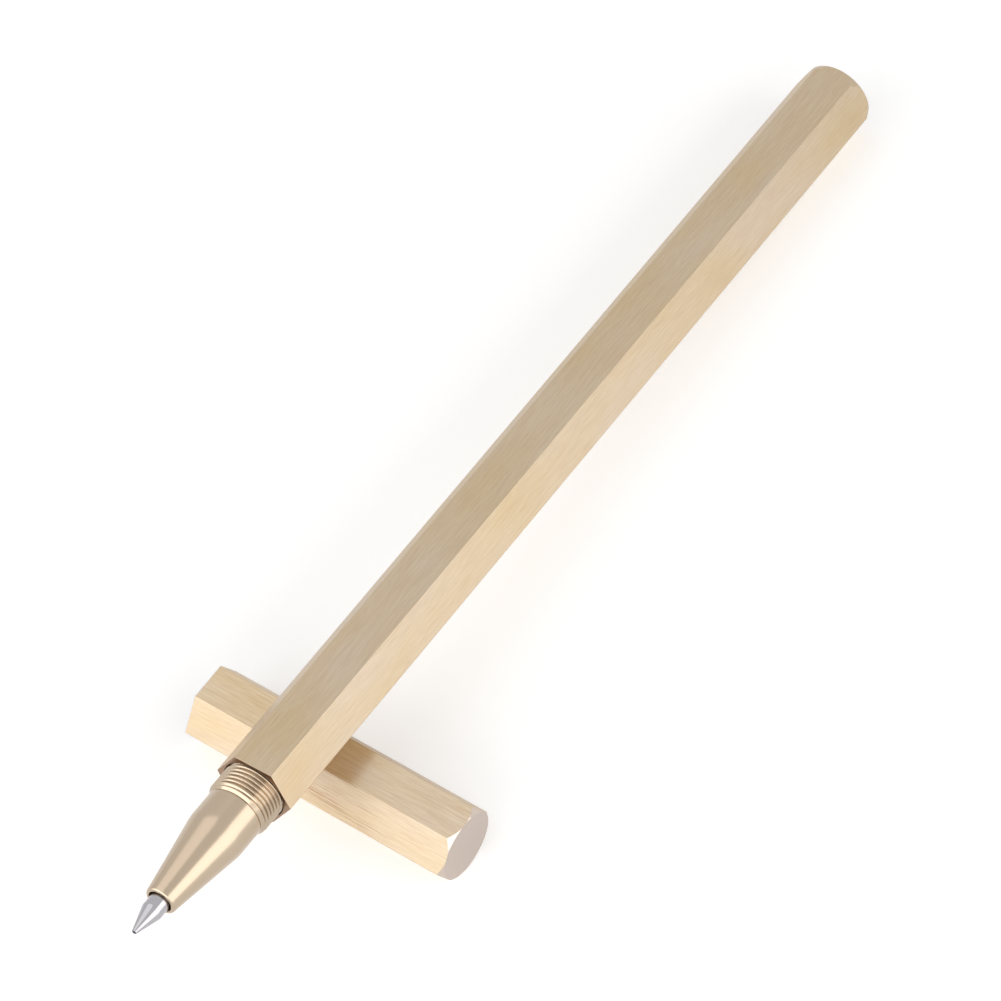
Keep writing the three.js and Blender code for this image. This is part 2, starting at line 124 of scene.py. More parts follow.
def pick(piece, kind, chosen):
    """Selects, in edit mode, the vertices, edges or faces that the test chosen() accepts."""
    bpy.ops.mesh.select_mode(type={"verts": "VERT", "edges": "EDGE", "faces": "FACE"}[kind])
    bpy.ops.mesh.select_all(action="DESELECT")
    cage = bmesh.from_edit_mesh(piece.data)
    for item in getattr(cage, kind):
        if chosen(item):
            item.select_set(True)
    cage.select_flush_mode()
    bmesh.update_edit_mesh(piece.data)


def is_at(height, item):
    return all(abs(vert.co.z - height) < MERGE_GAP for vert in item.verts)


def draw_outline(name, outline):
    """Draws an outline of (radius, height, rounding) corners by pulling one vertex from each to the next."""
    bpy.ops.mesh.primitive_plane_add(size=1)
    piece = start_piece(name)
    bpy.ops.object.mode_set(mode="EDIT")
    bpy.ops.mesh.select_mode(type="VERT")
    bpy.ops.mesh.select_all(action="SELECT")
    bpy.ops.mesh.merge(type="CENTER")
    here = Vector((outline[0][0], 0, outline[0][1]))
    bpy.ops.transform.translate(value=here)
    for radius, height, _ in outline[1:]:
        there = Vector((radius, 0, height))
        bpy.ops.mesh.extrude_region_move(TRANSFORM_OT_translate={"value": there - here})
        here = there
    for radius, height, rounding in outline:
        if rounding:
            corner = Vector((radius, 0, height))
            pick(piece, "verts", lambda vert: (vert.co - corner).length < MERGE_GAP)
            bpy.ops.mesh.bevel(offset=rounding, offset_type="OFFSET", segments=5, affect="VERTICES")
    return piece


def turn(name, outline, steps=SMOOTH_STEPS):
    """Turns an outline about Z, as a lathe does. The outline is closed, or starts and ends on the axis."""
    piece = draw_outline(name, outline)
    bpy.ops.mesh.select_all(action="SELECT")
    bpy.ops.mesh.spin(steps=steps, angle=FULL_TURN, center=(0, 0, 0), axis=(0, 0, 1))
    bpy.ops.mesh.select_all(action="SELECT")
    bpy.ops.mesh.remove_doubles(threshold=MERGE_GAP)
    bpy.ops.mesh.normals_make_consistent(inside=False)
    bpy.ops.object.mode_set(mode="OBJECT")
    return piece


def wind(piece, pitch, turns, steps):
    """Winds the section that the piece holds into a right-hand screw about Z."""
    winding = piece.modifiers.new("winding", "SCREW")
    winding.axis = "Z"
    winding.angle = FULL_TURN
    winding.screw_offset = pitch
    winding.iterations = turns
    winding.steps = steps
    winding.render_steps = steps
    winding.use_smooth_shade = False
    bpy.ops.object.modifier_apply(modifier=winding.name)


def threaded_rod(name, low, high, growth):
    """A rod with a right-hand thread, flat at both ends. Grown a little, it is the tap for its nut."""
    root = THREAD_RADIUS - THREAD_DEPTH + growth
    crest = THREAD_RADIUS + growth
    half_crest = THREAD_CREST / 2 + growth * CREST_GROWTH
    half_root = half_crest + THREAD_DEPTH * math.tan(THREAD_FLANK)
    piece = draw_outline(name, [
        (root, -THREAD_PITCH / 2, 0),
        (root, -half_root, 0.02),
        (crest, -half_crest, 0.025),
        (crest, half_crest, 0.025),
        (root, half_root, 0.02),
        (root, THREAD_PITCH / 2, 0),
    ])
    bpy.ops.mesh.select_all(action="SELECT")
    first_turn = math.floor(low / THREAD_PITCH) - 1
    bpy.ops.transform.translate(value=(0, 0, first_turn * THREAD_PITCH))
    bpy.ops.object.mode_set(mode="OBJECT")
    wind(piece, THREAD_PITCH, math.ceil(high / THREAD_PITCH) + 1 - first_turn, SMOOTH_STEPS)
    bpy.ops.object.mode_set(mode="EDIT")
    bpy.ops.mesh.select_all(action="SELECT")
    bpy.ops.mesh.remove_doubles(threshold=MERGE_GAP)
    for height, facing in ((low, -1), (high, 1)):
        bpy.ops.mesh.select_all(action="SELECT")
        bpy.ops.mesh.bisect(plane_co=(0, 0, height), plane_no=(0, 0, facing), use_fill=True, clear_outer=True)
    bpy.ops.mesh.select_all(action="SELECT")
    bpy.ops.mesh.normals_make_consistent(inside=False)
    bpy.ops.object.mode_set(mode="OBJECT")
    return piece


def cut(piece, tool, operation="DIFFERENCE"):
    """Cuts, joins or trims a piece with a tool, and throws the tool away."""
    bpy.ops.object.select_all(action="DESELECT")
    piece.select_set(True)
    bpy.context.view_layer.objects.active = piece
    cutter = piece.modifiers.new("cutter", "BOOLEAN")
    cutter.operation = operation
    cutter.solver = "EXACT"
    cutter.object = tool
    bpy.ops.object.modifier_apply(modifier=cutter.name)
    bpy.data.objects.remove(tool, do_unlink=True)


def hex_bar(name, length, end_bevel):
    """Bar from its closed end at -length to its mouth at 0, with a turned bevel on the closed end."""
    flat = ACROSS_FLATS / 2
    sharp_corner = ACROSS_FLATS / math.sqrt(3)
    corner = sharp_corner - EDGE_ROUND * (2 / math.sqrt(3) - 1)
    bpy.ops.mesh.primitive_cylinder_add(vertices=6, radius=sharp_corner, depth=length,
                                        location=(0, 0, -length / 2), rotation=(0, 0, math.radians(30)))
    piece = start_piece(name)
    bpy.ops.object.transform_apply(location=True, rotation=True, scale=True)
    bpy.ops.object.mode_set(mode="EDIT")
    pick(piece, "edges", lambda edge: abs(edge.verts[0].co.z - edge.verts[1].co.z) > length / 2)
    bpy.ops.mesh.bevel(offset=EDGE_ROUND * math.tan(math.radians(30)), segments=3)
    pick(piece, "edges", lambda edge: is_at(0, edge))
    bpy.ops.mesh.bevel(offset=MOUTH_EDGE_BREAK, segments=2)
    bpy.ops.object.mode_set(mode="OBJECT")
    wide = corner + ENVELOPE_MARGIN
    slope = end_bevel / (corner - flat)
    envelope = turn("envelope", [
        (0, -length, 0),
        (flat, -length, 0.06),
        (wide, -length + (wide - flat) * slope, 0),
        (wide, OVERCUT, 0),
        (0, OVERCUT, 0),
    ], steps=ENVELOPE_STEPS)
    cut(piece, envelope, "INTERSECT")
    return piece


def tap_bar(piece, bore_radius, bore_depth, thread_length):
    """Drills a bar from its mouth, recesses the mouth and cuts the thread."""
    tapped = THREAD_RADIUS - THREAD_DEPTH + THREAD_CLEARANCE - TAP_OVERLAP
    thread_end = -thread_length - THREAD_RUNOUT
    step = [(bore_radius, thread_end - LEAD_IN, 0)] if bore_radius < tapped else []
    drill = turn("drill", [
        (0, -bore_depth, 0),
        (bore_radius, -bore_depth, 0.2),
        *step,
        (tapped, thread_end, 0),
        (tapped, -MOUTH_RECESS_DEPTH - LEAD_IN, 0),
        (MOUTH_RECESS_RADIUS, -MOUTH_RECESS_DEPTH, 0.03),
        (MOUTH_RECESS_RADIUS, OVERCUT, 0),
        (0, OVERCUT, 0),
    ])
    cut(piece, drill)
    cut(piece, threaded_rod("tap", thread_end, THREAD_PITCH, THREAD_CLEARANCE))


def settle(piece, place, smooth_angle=32):
    """Shades a finished piece, keeps its flats flat, and moves its mesh to its place."""
    piece.data.transform(place)
    bpy.ops.object.select_all(action="DESELECT")
    piece.select_set(True)
    bpy.context.view_layer.objects.active = piece
    bpy.ops.object.shade_smooth_by_angle(angle=math.radians(smooth_angle))
    flats = piece.modifiers.new("flats", "WEIGHTED_NORMAL")
    flats.keep_sharp = True
    flats.weight = 100
    bpy.ops.object.modifier_apply(modifier=flats.name)


def new_finish(name, colour, metallic, roughness):
    """A material with its plain colour, metal and roughness set on the shader itself."""
    finish = bpy.data.materials.new(name)
    finish.use_nodes = True
    shader = finish.node_tree.nodes["Principled BSDF"]
    shader.inputs["Base Color"].default_value = colour
    shader.inputs["Metallic"].default_value = metallic
    shader.inputs["Roughness"].default_value = roughness
    return finish, shader


def add_node(finish, kind, **settings):
    """Adds a node, and sets the properties and the unlinked sockets that are named."""
    node = finish.node_tree.nodes.new(kind)
    for name, value in settings.items():
        if hasattr(node, name):
            setattr(node, name, value)
        else:
            node.inputs[name.replace("_", " ")].default_value = value
    return node


def join(finish, source, target):
    finish.node_tree.links.new(source, target)


def pattern_space(finish, place, size):
    """Coordinates along the piece's own axes, in cells of the given size in millimetres."""
    where = add_node(finish, "ShaderNodeTexCoord")
    mapping = add_node(finish, "ShaderNodeMapping", vector_type="TEXTURE")
    mapping.inputs["Location"].default_value = place.translation
    mapping.inputs["Rotation"].default_value = place.to_euler()
    mapping.inputs["Scale"].default_value = [side * MILLIMETRE for side in size]
    join(finish, where.outputs["Object"], mapping.inputs["Vector"])
    return mapping.outputs["Vector"]


def tint(finish, shader, pattern, dark, light):
    """Lets a pattern vary the colour between two shades."""
    shades = add_node(finish, "ShaderNodeValToRGB")
    shades.color_ramp.elements[0].position = 0.25
    shades.color_ramp.elements[0].color = dark
    shades.color_ramp.elements[1].position = 0.75
    shades.color_ramp.elements[1].color = light
    join(finish, pattern, shades.inputs["Fac"])
    join(finish, shades.outputs["Color"], shader.inputs["Base Color"])


def roughen(finish, shader, pattern, low, high):
    """Lets a pattern vary the roughness between two values."""
    span = add_node(finish, "ShaderNodeMapRange", To_Min=low, To_Max=high)
    join(finish, pattern, span.inputs["Value"])
    join(finish, span.outputs["Result"], shader.inputs["Roughness"])


def emboss(finish, shader, pattern, height, strength=1.0):
    """Raises a pattern by a height in millimetres."""
    bump = add_node(finish, "ShaderNodeBump", Strength=strength, Distance=height * MILLIMETRE)
    join(finish, pattern, bump.inputs["Height"])
    join(finish, bump.outputs["Normal"], shader.inputs["Normal"])


def shade(colour, factor):
    return (*[min(1, channel * factor) for channel in colour[:3]], 1)


def lay_grain(piece):
    """Gives each face a UV map that runs round the bar and along it, for its brushing to follow."""
    grain = piece.data.uv_layers.new(name="grain")
    for face in piece.data.polygons:
        around = Vector((0, 0, 1)).cross(face.normal)
        around = around.normalized() if around.length > 0.3 else Vector((1, 0, 0))
        along = face.normal.cross(around)
        for corner in face.loop_indices:
            spot = piece.data.vertices[piece.data.loops[corner].vertex_index].co
            grain.data[corner].uv = (spot.dot(around), spot.dot(along))


def brushed_finish(name, place, depth, scuff=None, scuff_reach=1.0, scuff_depth=0.0):
    """Brass brushed along the bar: hair-fine streaks, slow cloudiness, and scratches round a scuff."""
    finish, shader = new_finish(name, BRASS, 1, BRASS_ROUGHNESS)
    shader.inputs["Anisotropic"].default_value = BRUSH_ANISOTROPY
    grain = add_node(finish, "ShaderNodeTangent", direction_type="UV_MAP", uv_map="grain")
    join(finish, grain.outputs["Tangent"], shader.inputs["Tangent"])
    clouds = add_node(finish, "ShaderNodeTexNoise", Scale=1.0, Detail=2.0, Roughness=0.5)
    join(finish, pattern_space(finish, place, CLOUD_SIZE), clouds.inputs["Vector"])
    shades = add_node(finish, "ShaderNodeValToRGB")
    shades.color_ramp.elements[0].position = 0.3
    shades.color_ramp.elements[0].color = (*[channel * part for channel, part in zip(BRASS, CLOUD_DARK)], 1)
    shades.color_ramp.elements[1].position = 0.7
    shades.color_ramp.elements[1].color = (*[channel * part for channel, part in zip(BRASS, CLOUD_LIGHT)], 1)
    join(finish, clouds.outputs["Fac"], shades.inputs["Fac"])
    hairs = add_node(finish, "ShaderNodeTexNoise", Scale=1.0, Detail=3.0, Roughness=0.7)
    join(finish, pattern_space(finish, place, BRUSH_HAIR), hairs.inputs["Vector"])
    depths = add_node(finish, "ShaderNodeMapRange", From_Min=0.3, From_Max=0.7,
                      To_Min=1 - depth, To_Max=1 + depth)
    join(finish, hairs.outputs["Fac"], depths.inputs["Value"])
    streaks = depths.outputs["Result"]
    if scuff:
        scratches = add_node(finish, "ShaderNodeTexNoise", Scale=1.0, Detail=3.0, Roughness=0.6)
        join(finish, pattern_space(finish, place, BRUSH_SCRATCH), scratches.inputs["Vector"])
        deep = add_node(finish, "ShaderNodeMapRange", From_Min=SCRATCH_SPAN[0], From_Max=SCRATCH_SPAN[1],
                        To_Min=0.0, To_Max=scuff_depth)
        join(finish, scratches.outputs["Fac"], deep.inputs["Value"])
        distance = add_node(finish, "ShaderNodeVectorMath", operation="LENGTH")
        scuffed = pattern_space(finish, scuff, (scuff_reach, scuff_reach / 2, scuff_reach))
        join(finish, scuffed, distance.inputs[0])
        near = add_node(finish, "ShaderNodeMapRange", From_Min=0.35, From_Max=1.0, To_Min=-1.0, To_Max=-0.12)
        join(finish, distance.outputs["Value"], near.inputs["Value"])
        scored = add_node(finish, "ShaderNodeMath", operation="MULTIPLY_ADD")
        join(finish, deep.outputs["Result"], scored.inputs[0])
        join(finish, near.outputs["Result"], scored.inputs[1])
        join(finish, streaks, scored.inputs[2])
        streaks = scored.outputs["Value"]
    warmth = add_node(finish, "ShaderNodeCombineXYZ")
    for channel, power in STREAK_POWERS:
        warmer = add_node(finish, "ShaderNodeMath", operation="POWER")
        join(finish, streaks, warmer.inputs[0])
        warmer.inputs[1].default_value = power
        join(finish, warmer.outputs["Value"], warmth.inputs[channel])
    streaked = add_node(finish, "ShaderNodeVectorMath", operation="MULTIPLY")
    join(finish, shades.outputs["Color"], streaked.inputs[0])
    join(finish, warmth.outputs["Vector"], streaked.inputs[1])
    join(finish, streaked.outputs["Vector"], shader.inputs["Base Color"])
    roughen(finish, shader, clouds.outputs["Fac"], *CLOUD_ROUGHNESS)
    emboss(finish, shader, hairs.outputs["Fac"], BRUSH_HEIGHT, strength=0.6)
    return finish


def lathe_finish(name, place, colour, roughness, ring, depth):
    """Metal faced on a lathe: fine rings about the axis."""
    finish, shader = new_finish(name, colour, 1, roughness)
    along = pattern_space(finish, place, (1, 1, 1))
    parts = add_node(finish, "ShaderNodeSeparateXYZ")
    join(finish, along, parts.inputs["Vector"])
    flat = add_node(finish, "ShaderNodeCombineXYZ")
    join(finish, parts.outputs["X"], flat.inputs["X"])
    join(finish, parts.outputs["Y"], flat.inputs["Y"])
    radius = add_node(finish, "ShaderNodeVectorMath", operation="LENGTH")
    join(finish, flat.outputs["Vector"], radius.inputs[0])
    position = add_node(finish, "ShaderNodeMath", operation="ADD")
    join(finish, radius.outputs["Value"], position.inputs[0])
    join(finish, parts.outputs["Z"], position.inputs[1])
    rings = add_node(finish, "ShaderNodeTexNoise", noise_dimensions="1D", Scale=1 / ring, Detail=2.0)
    join(finish, position.outputs["Value"], rings.inputs["W"])
    tint(finish, shader, rings.outputs["Fac"], shade(colour, 1 - depth), shade(colour, 1 + depth))
    roughen(finish, shader, rings.outputs["Fac"], roughness * 0.85, roughness * 1.2)
    emboss(finish, shader, rings.outputs["Fac"], LATHE_HEIGHT, strength=0.5)
    return finish


def face_end(piece, faced, turned, drilled):
    """Gives the bar's closed end and the edges that the lathe broke their finishes, and its drilled mouth and
    bore a dark brown painted shade.
    """
    for finish in (faced, turned, drilled):
        piece.data.materials.append(finish)
    for face in piece.data.polygons:
        if face.normal.z < -0.9:
            face.material_index = 1
        elif face.normal.z > 0.9 or face.center.xy.length < THREAD_RADIUS + MOUTH_MARGIN:
            face.material_index = 3
        elif abs(face.normal.z) > 0.25:
            face.material_index = 2


brushed_brass = brushed_finish("brushed_brass", pen_place, BARREL_BRUSHING)
faced_brass = lathe_finish("faced_brass", pen_place, END_BRASS, FACED_ROUGHNESS, LATHE_RING, 0.05)
edge_brass = lathe_finish("edge_brass", pen_place, shade(BRASS, 0.95), EDGE_ROUGHNESS, LATHE_RING, 0.03)
# Painted shade: the barrel's mouth face and bore are coloured dark brown, as shade at the joint with the
# nose.
mouth_brass = lathe_finish("mouth_brass", pen_place, SHADED_MOUTH_BRASS, MOUTH_ROUGHNESS, LATHE_RING, 0.08)

barrel = hex_bar("barrel_bar", BARREL_LENGTH, BARREL_END_BEVEL)
tap_bar(barrel, BARREL_BORE, BARREL_BORE_DEPTH, BARREL_THREAD)
barrel.data.materials.append(brushed_brass)
face_end(barrel, faced_brass, edge_brass, mouth_brass)
lay_grain(barrel)
settle(barrel, pen_place)
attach(barrel, "pen")
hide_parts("barrel")

# Cap
# The same bar, 32 mm long, bored deep enough to swallow the nose and tapped at its mouth. It was
# brushed more coarsely than the barrel, and it lies on one of its flats under the pen.
CAP_LENGTH = 32.0
CAP_BORE_DEPTH = 27.0
CAP_END_BEVEL = 0.6
CAP_THREAD = 3.15
CAP_BRUSHING = 0.14
CAP_EDGE_ROUGHNESS = 0.2
SCUFF_FROM_MOUTH = 17.5
SCUFF_REACH = 9.0
SCUFF_DEPTH = 0.48

cap_low, cap_high = [Vector(corner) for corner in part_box("cap")]
cap_middle = (cap_low + cap_high) / 2
cap_turn = Matrix(((0, 0, -1), (-1, 0, 0), (0, 1, 0))).to_4x4()
cap_mouth = Matrix.Translation((cap_low.x, cap_middle.y, cap_middle.z))
cap_place = cap_mouth @ cap_turn @ Matrix.Scale(MILLIMETRE, 4)

scuff_place = cap_place @ Matrix.Translation((ACROSS_FLATS / 2, 0, -SCUFF_FROM_MOUTH))
faced_cap_brass = lathe_finish("faced_cap_brass", cap_place, END_BRASS, FACED_ROUGHNESS, LATHE_RING, 0.05)
cap_edge_brass = lathe_finish("cap_edge_brass", cap_place, shade(END_BRASS, 1.1),
                              CAP_EDGE_ROUGHNESS, LATHE_RING, 0.1)
# Painted shade: the cap's mouth face and bore are coloured dark brown.
cap_mouth_brass = lathe_finish("cap_mouth_brass", cap_place, SHADED_MOUTH_BRASS, MOUTH_ROUGHNESS, LATHE_RING, 0.08)

cap = hex_bar("cap_bar", CAP_LENGTH, CAP_END_BEVEL)
tap_bar(cap, THREAD_RADIUS - THREAD_DEPTH + THREAD_CLEARANCE, CAP_BORE_DEPTH, CAP_THREAD)
cap.data.materials.append(brushed_finish("brushed_cap_brass", cap_place, CAP_BRUSHING,
                                         scuff_place, SCUFF_REACH, SCUFF_DEPTH))
face_end(cap, faced_cap_brass, cap_edge_brass, cap_mouth_brass)
lay_grain(cap)
settle(cap, cap_place)
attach(cap, "cap")
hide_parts("cap")

# Nose section
# Turned from round brass in one piece: a threaded stub that screws into the barrel, a short neck
# and a long cone with a rounded rim. Its last turns of thread stand proud to take the cap.
NECK_RADIUS = 3.17
NECK_START = 3.3
NECK_CHAMFER = 0.12
NECK_END = 6.85
NOSE_LENGTH = 16.45
RIM_RADIUS = 1.72
RIM_ROUND = 0.24
CONE_OVERLAP = 0.3
CONE_SUPPORT = 0.7
RIM_SUPPORT = 0.5
STUB_END = -5.2
PROUD_THREAD_END = 3.25
STUB_BORE = 2.62
STUB_BORE_END = 5.65
SHOULDER = 12.9
SHOULDER_RADIUS = 1.756
TIP_HOLE = 1.23
TIP_HOLE_FLARE = 0.14
FINE_RING = 0.12
TURNED_ROUGHNESS = 0.21
THREAD_ROUGHNESS = 0.2
TURNED_BRASS = (0.48, 0.385, 0.285, 1)
THREAD_BRASS = (0.46, 0.37, 0.275, 1)

nose = threaded_rod("nose_turning", STUB_END, PROUD_THREAD_END, 0)
chamfer = THREAD_DEPTH + 0.1
trim = turn("trim", [
    (0, STUB_END, 0),
    (THREAD_RADIUS - chamfer, STUB_END, 0),
    (THREAD_RADIUS + 0.1, STUB_END + chamfer + 0.1, 0),
    (THREAD_RADIUS + 0.1, PROUD_THREAD_END - chamfer - 0.1, 0),
    (THREAD_RADIUS - chamfer, PROUD_THREAD_END, 0),
    (0, PROUD_THREAD_END, 0),
])
cut(nose, trim, "INTERSECT")
taper = (NECK_RADIUS - RIM_RADIUS) / (NOSE_LENGTH - NECK_END)
nose_cone = turn("nose_cone", [
    (0, PROUD_THREAD_END - CONE_OVERLAP, 0),
    (NECK_RADIUS - NECK_CHAMFER, PROUD_THREAD_END - CONE_OVERLAP, 0),
    (NECK_RADIUS - NECK_CHAMFER, NECK_START, 0),
    (NECK_RADIUS, NECK_START + NECK_CHAMFER, 0.03),
    (NECK_RADIUS, NECK_START + 0.35, 0),
    (NECK_RADIUS, NECK_END - CONE_SUPPORT, 0),
    (NECK_RADIUS, NECK_END, 0.4),
    (NECK_RADIUS - taper * CONE_SUPPORT, NECK_END + CONE_SUPPORT, 0),
    (RIM_RADIUS + taper * RIM_SUPPORT, NOSE_LENGTH - RIM_SUPPORT, 0),
    (RIM_RADIUS, NOSE_LENGTH, RIM_ROUND),
    (0, NOSE_LENGTH, 0),
], steps=144)
cut(nose, nose_cone, "UNION")
nose_bore = turn("nose_bore", [
    (0, STUB_END - OVERCUT, 0),
    (STUB_BORE, STUB_END - OVERCUT, 0),
    (STUB_BORE, STUB_BORE_END, 0),
    (SHOULDER_RADIUS, SHOULDER, 0),
    (TIP_HOLE, SHOULDER, 0),
    (TIP_HOLE, NOSE_LENGTH - TIP_HOLE_FLARE * 2, 0),
    (TIP_HOLE + TIP_HOLE_FLARE, NOSE_LENGTH, 0),
    (TIP_HOLE + TIP_HOLE_FLARE, NOSE_LENGTH + OVERCUT, 0),
    (0, NOSE_LENGTH + OVERCUT, 0),
])
cut(nose, nose_bore)
turned_brass = lathe_finish("turned_brass", pen_place, TURNED_BRASS, TURNED_ROUGHNESS, FINE_RING, 0.015)
thread_brass = lathe_finish("thread_brass", pen_place, THREAD_BRASS, THREAD_ROUGHNESS, FINE_RING, 0.03)
nose.data.materials.append(turned_brass)
nose.data.materials.append(thread_brass)
for face in nose.data.polygons:
    if face.center.z < NECK_START + 0.02:
        face.material_index = 1
settle(nose, pen_place, smooth_angle=40)
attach(nose, "nose")
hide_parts("nose_section")

# Refill tip
# A nickel-silver turning that is pressed into the refill's holder. A long cone leads down to a thin
# lip, which is rolled over the ball to hold it in its socket.
TIP_RADIUS = 1.15
TIP_BACK = 7.45
TIP_CONE_START = 17.89
TIP_LIP = 20.87
TIP_LIP_RADIUS = 0.275
TIP_CHANNEL = 0.3
TIP_FEED = 0.08
BALL_RADIUS = 0.25
BALL_CENTRE = 20.73
BALL_CLEARANCE = 0.012
SPRING_FRONT = 19.38
TIP_RING = 0.07
TIP_ROUGHNESS = 0.09
NICKEL_SILVER = (0.42, 0.41, 0.43, 1)

socket = BALL_RADIUS + BALL_CLEARANCE
tip = turn("tip_turning", [
    (TIP_CHANNEL, TIP_BACK, 0),
    (TIP_RADIUS, TIP_BACK, 0.15),
    (TIP_RADIUS, TIP_CONE_START, 0.1),
    (TIP_LIP_RADIUS, TIP_LIP, 0.02),
    (math.sqrt(socket ** 2 - (TIP_LIP - BALL_CENTRE) ** 2), TIP_LIP, 0),
    (socket, BALL_CENTRE + 0.04, 0),
    (socket, BALL_CENTRE - 0.04, 0),
    (TIP_FEED, BALL_CENTRE - socket * 0.8 - 0.12, 0),
    (TIP_FEED, SPRING_FRONT + 0.12, 0),
    (TIP_CHANNEL, SPRING_FRONT, 0),
    (TIP_CHANNEL, TIP_BACK, 0),
])
nickel_silver = lathe_finish("nickel_silver", pen_place, NICKEL_SILVER, TIP_ROUGHNESS, TIP_RING, 0.03)
tip.data.materials.append(nickel_silver)
settle(tip, pen_place, smooth_angle=40)
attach(tip, "refill")
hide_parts("refill_tip")

# Writing ball
# A tungsten-carbide ball, half a millimetre across, that turns freely in the tip's lip. Its surface
# is finely pitted so that it picks up ink.
CARBIDE = (0.05, 0.05, 0.055, 1)
PIT_SIZE = (0.03, 0.03, 0.03)
PIT_DEPTH = 0.001

bpy.ops.mesh.primitive_ico_sphere_add(subdivisions=4, radius=BALL_RADIUS, location=(0, 0, BALL_CENTRE))
ball = start_piece("carbide_ball")
bpy.ops.object.transform_apply(location=True, rotation=True, scale=True)
carbide, carbide_shader = new_finish("carbide", CARBIDE, 1, 0.2)
pits = add_node(carbide, "ShaderNodeTexVoronoi", Scale=1.0)
join(carbide, pattern_space(carbide, pen_place, PIT_SIZE), pits.inputs["Vector"])
roughen(carbide, carbide_shader, pits.outputs["Distance"], 0.12, 0.3)
emboss(carbide, carbide_shader, pits.outputs["Distance"], PIT_DEPTH)
ball.data.materials.append(carbide)
settle(ball, pen_place, smooth_angle=60)
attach(ball, "ball")
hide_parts("writing_ball")

# Ball spring
# A hair-fine coil of steel wire in the tip's channel. It pushes the ball against its lip, so that
# the pen doesn't leak when it isn't writing.
BALL_COIL = 0.19
BALL_WIRE = 0.08
BALL_SPRING_LENGTH = 2.2
BALL_SPRING_TURNS = 9
STEEL = (0.56, 0.57, 0.58, 1)
DRAWING_MARK = (0.3, 0.3, 0.04)


def coil_spring(name, coil, wire, turns, low, high, steps):
    """A compression spring of round wire between two heights, with its end turns wound close."""
    close_pitch = wire * 1.25
    open_pitch = (high - low - wire - 2 * close_pitch) / (turns - 2)
    start = low + wire / 2
    lengths = []
    for pitch, count in ((close_pitch, 1), (open_pitch, turns - 2), (close_pitch, 1)):
        bpy.ops.mesh.primitive_circle_add(vertices=12, radius=wire / 2, location=(coil, 0, start),
                                          rotation=(math.radians(90), 0, 0))
        length = start_piece(name)
        bpy.ops.object.transform_apply(location=True, rotation=True, scale=True)
        wind(length, pitch, count, steps)
        lengths.append(length)
        start += pitch * count
    for length in lengths:
        length.select_set(True)
    bpy.ops.object.join()
    piece = start_piece(name)
    bpy.ops.object.mode_set(mode="EDIT")
    bpy.ops.mesh.select_all(action="SELECT")
    bpy.ops.mesh.remove_doubles(threshold=wire / 100)
    pick(piece, "edges", lambda edge: edge.is_boundary)
    bpy.ops.mesh.edge_face_add()
    bpy.ops.mesh.select_all(action="SELECT")
    bpy.ops.mesh.normals_make_consistent(inside=False)
    bpy.ops.object.mode_set(mode="OBJECT")
    return piece


ball_spring = coil_spring("ball_coil", BALL_COIL, BALL_WIRE, BALL_SPRING_TURNS,
                          SPRING_FRONT - BALL_SPRING_LENGTH, SPRING_FRONT, 24)
spring_steel, spring_shader = new_finish("spring_steel", STEEL, 1, 0.28)
drawing_marks = add_node(spring_steel, "ShaderNodeTexNoise", Scale=1.0, Detail=2.0)
join(spring_steel, pattern_space(spring_steel, pen_place, DRAWING_MARK), drawing_marks.inputs["Vector"])
roughen(spring_steel, spring_shader, drawing_marks.outputs["Fac"], 0.2, 0.42)
ball_spring.data.materials.append(spring_steel)
settle(ball_spring, pen_place)
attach(ball_spring, "refill")
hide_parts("ball_spring")

# Tip holder
# Moulded in white plastic. Its stem fills the nose and grips the metal tip, and a plug behind its
# flange is pushed into the ink tube.
HOLDER_CHANNEL = 0.8
HOLDER_FRONT = 12.8
HOLDER_FRONT_RADIUS = 1.65
HOLDER_STEM = 2.5
HOLDER_STEM_END = 5.6
HOLDER_BACK = -5.5
TUBE_RADIUS = 2.9
TUBE_BORE = 2.2
TUBE_FRONT = -6.3
HOLDER_PLUG_END = -9.6
PLUG_RADIUS = 2.15
TIP_SOCKET = 1.17
TIP_SOCKET_END = 7.4
PLASTIC = (0.83, 0.82, 0.79, 1)
MOULD_GRAIN = (0.2, 0.2, 0.2)
MOULD_GRAIN_HEIGHT = 0.002

holder = turn("holder_moulding", [
    (HOLDER_CHANNEL, HOLDER_PLUG_END, 0),
    (PLUG_RADIUS, HOLDER_PLUG_END, 0.15),
    (PLUG_RADIUS, TUBE_FRONT + 0.05, 0),
    (TUBE_RADIUS, TUBE_FRONT + 0.05, 0.08),
    (TUBE_RADIUS, HOLDER_BACK, 0.08),
    (HOLDER_STEM, HOLDER_BACK, 0.08),
    (HOLDER_STEM, HOLDER_STEM_END, 0.1),
    (HOLDER_FRONT_RADIUS, HOLDER_FRONT, 0.08),
    (TIP_SOCKET, HOLDER_FRONT, 0),
    (TIP_SOCKET, TIP_SOCKET_END, 0),
    (HOLDER_CHANNEL, TIP_SOCKET_END, 0),
    (HOLDER_CHANNEL, HOLDER_PLUG_END, 0),
])
white_plastic, plastic_shader = new_finish("white_plastic", PLASTIC, 0, 0.42)
plastic_shader.inputs["Subsurface Weight"].default_value = 0.15
plastic_shader.inputs["Subsurface Scale"].default_value = MILLIMETRE
grain = add_node(white_plastic, "ShaderNodeTexNoise", Scale=1.0, Detail=3.0)
join(white_plastic, pattern_space(white_plastic, pen_place, MOULD_GRAIN), grain.inputs["Vector"])
roughen(white_plastic, plastic_shader, grain.outputs["Fac"], 0.34, 0.5)
emboss(white_plastic, plastic_shader, grain.outputs["Fac"], MOULD_GRAIN_HEIGHT)
holder.data.materials.append(white_plastic)
settle(holder, pen_place)
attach(holder, "refill")
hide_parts("tip_holder")

# Refill tube
# Extruded in translucent plastic, 5.8 mm across, and cut to length. It carries the ink and its
# grease plug, and slides with a little play in the barrel's bore.
TUBE_BACK = -88.07
CLEAR_PLASTIC = (0.86, 0.89, 0.9, 1)
EXTRUSION_LINE = (0.25, 0.25, 12.0)

